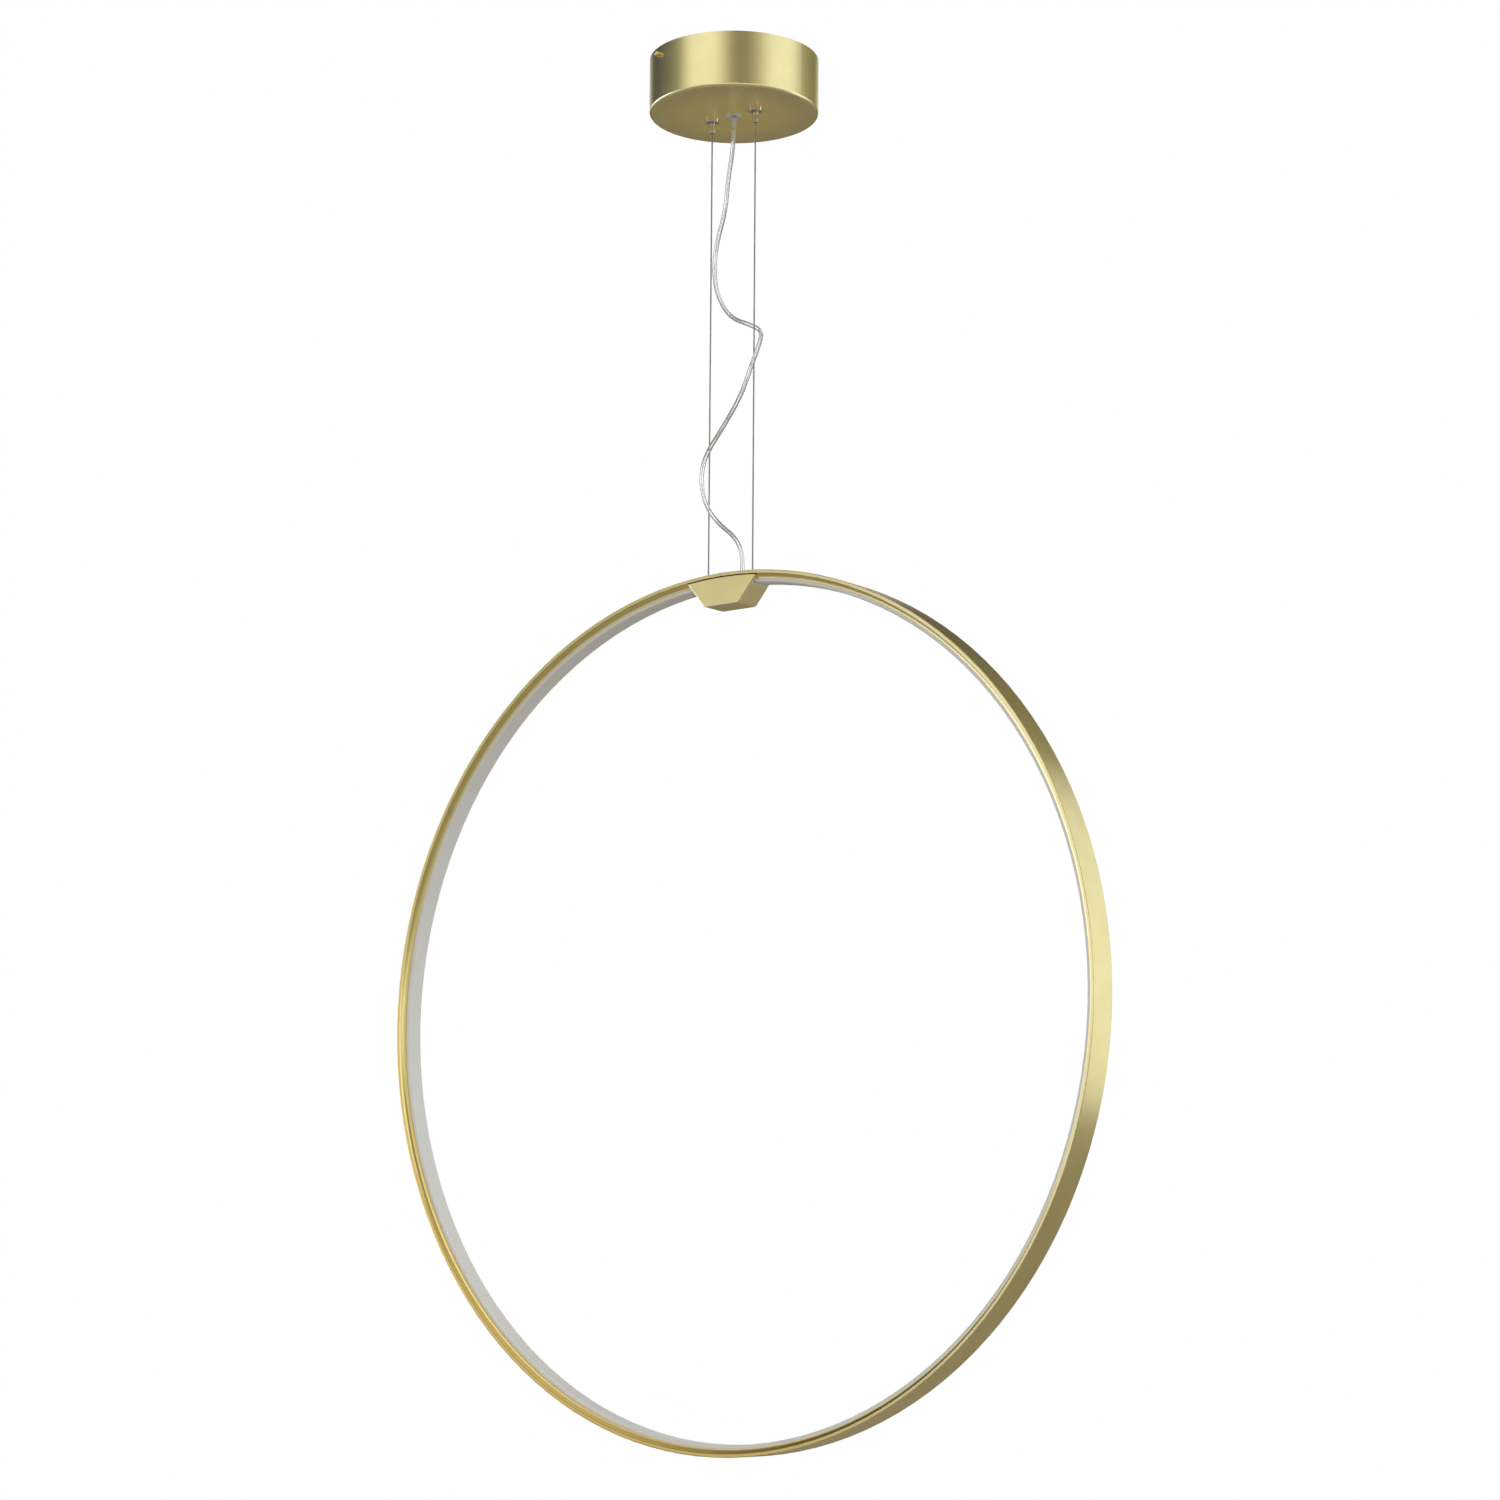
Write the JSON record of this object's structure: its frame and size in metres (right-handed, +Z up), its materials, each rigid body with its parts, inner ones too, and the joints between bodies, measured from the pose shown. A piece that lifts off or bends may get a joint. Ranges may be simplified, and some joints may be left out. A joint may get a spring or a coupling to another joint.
{
  "type": "led pendant light",
  "caption": "Thin brass-coloured ring pendant with an inward-facing LED strip behind an opal cover, hung upright on wires from a round ceiling canopy.",
  "frame": {"origin": "on the ceiling, at the centre of the bracket's two ceiling screws, above the canopy's centre", "axes": "+Z up, X along the plane of the ring and the line of the two wires, +Y along the ring's axis to its back"},
  "size_m": [0.8, 0.16, 1.2974],
  "materials": {
    "canopy_brass": "satin brass-coloured lacquer over brushed steel",
    "ring_brass": "satin brass-coloured anodised extrusion",
    "hub_brass": "satin brass-coloured die casting",
    "knob_brass": "polished",
    "chrome": "polished",
    "steel": "zinc plated",
    "rope_steel": "stranded wire rope",
    "clear_cable": "clear sheath over white cores",
    "opal": "opal, satin",
    "white_plastic": "moulded, satin",
    "grey_plastic": "moulded, satin",
    "foam": "closed-cell foam",
    "strip_white": "white solder mask",
    "chip_yellow": "phosphor"
  },
  "bodies": {
    "ceiling_unit": {"ceiling_bracket": "steel", "canopy": "canopy_brass", "canopy_screws": "knob_brass", "led_driver": "white_plastic", "driver_pad": "foam", "output_block": "white_plastic", "supply_block": "white_plastic", "block_screws": "steel", "earth_screw": "knob_brass", "output_lead": "white_plastic", "supply_lead": "white_plastic", "cable_gland": "grey_plastic", "gland_nut": "grey_plastic", "gripper_left": "chrome", "gripper_right": "chrome", "gripper_nuts": "steel", "gripper_balls": "steel", "ball_followers": "steel", "gripper_springs": "steel", "wire_tail_left": "rope_steel", "wire_tail_right": "rope_steel", "cable_upper_end": "clear_cable"},
    "suspension": {"wire_left": "rope_steel", "wire_right": "rope_steel", "power_cable": "clear_cable"},
    "wire_ends": {"wire_stop_left": "steel", "wire_stop_right": "steel"},
    "left_plunger": {"release_plunger_left": "chrome"},
    "right_plunger": {"release_plunger_right": "chrome"},
    "ring": {"ring_profile": "ring_brass", "diffuser": "opal", "led_strip": "strip_white", "led_chips": "chip_yellow", "ring_splice": "steel", "splice_screws": "steel", "wire_eyelets": "chrome", "cable_grommet": "grey_plastic", "hub_body": "hub_brass", "hub_cover": "hub_brass", "hub_cover_screws": "steel", "hub_screws": "steel", "led_connector": "white_plastic", "cable_lower_end": "clear_cable", "led_leads": "white_plastic"}
  },
  "joints": [
    {"name": "ring_swing", "type": "hinge", "parent": "ceiling_unit", "child": "suspension", "pos_m": [0, 0, -0.0656], "axis": [1, 0, 0], "range_deg": [-10, 10]},
    {"name": "height_adjust", "type": "slide", "parent": "suspension", "child": "wire_ends", "axis": [0, 0, 1], "range_m": [0, 0.25], "deforming": ["wire_left", "wire_right", "power_cable"]},
    {"name": "ring_tilt", "type": "hinge", "parent": "wire_ends", "child": "ring", "pos_m": [0, 0, -0.50386], "axis": [1, 0, 0], "range_deg": [-8, 8]},
    {"name": "left_release", "type": "slide", "parent": "ceiling_unit", "child": "left_plunger", "axis": [0, 0, 1], "range_m": [0, 0.002], "stiffness_N_per_m": 300, "springref_m": -0.001},
    {"name": "right_release", "type": "slide", "parent": "ceiling_unit", "child": "right_plunger", "axis": [0, 0, 1], "range_m": [0, 0.002], "stiffness_N_per_m": 300, "springref_m": -0.001}
  ]
}
